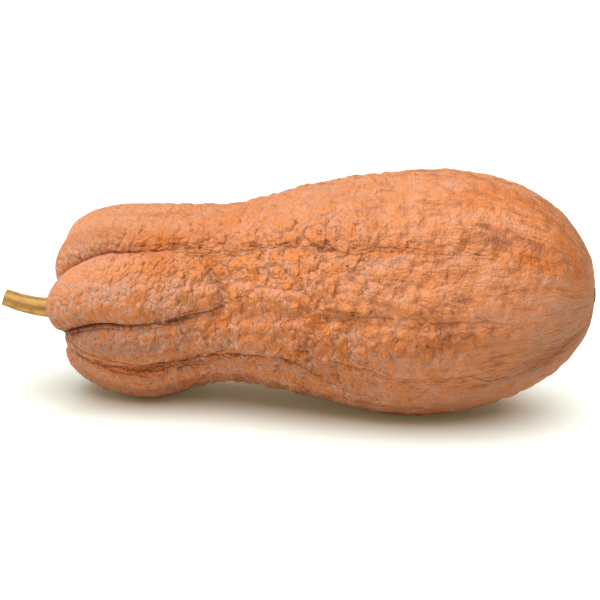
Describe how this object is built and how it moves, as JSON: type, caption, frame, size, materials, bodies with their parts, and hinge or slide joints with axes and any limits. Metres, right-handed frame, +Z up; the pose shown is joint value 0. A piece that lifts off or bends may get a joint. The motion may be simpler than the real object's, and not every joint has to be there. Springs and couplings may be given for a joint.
{
  "type": "butternut squash",
  "caption": "Long ribbed and wrinkled orange squash lying on its side, with deep lobes round its dry cut stalk and a smooth wide blossom end.",
  "frame": {"origin": "middle of the whole object's footprint, on the surface that it lies on", "axes": "+X along the fruit from the stalk to the blossom end, +Z up, -Y the side that the picture shows"},
  "size_m": [0.3508, 0.142, 0.1412],
  "materials": {
    "rind": "waxy satin, wrinkled, orange with a pinkish bloom in its hollows",
    "stalk": "dry, fibrous, matt"
  },
  "bodies": {
    "root": {"fruit": "rind", "stalk": "stalk"}
  },
  "joints": []
}
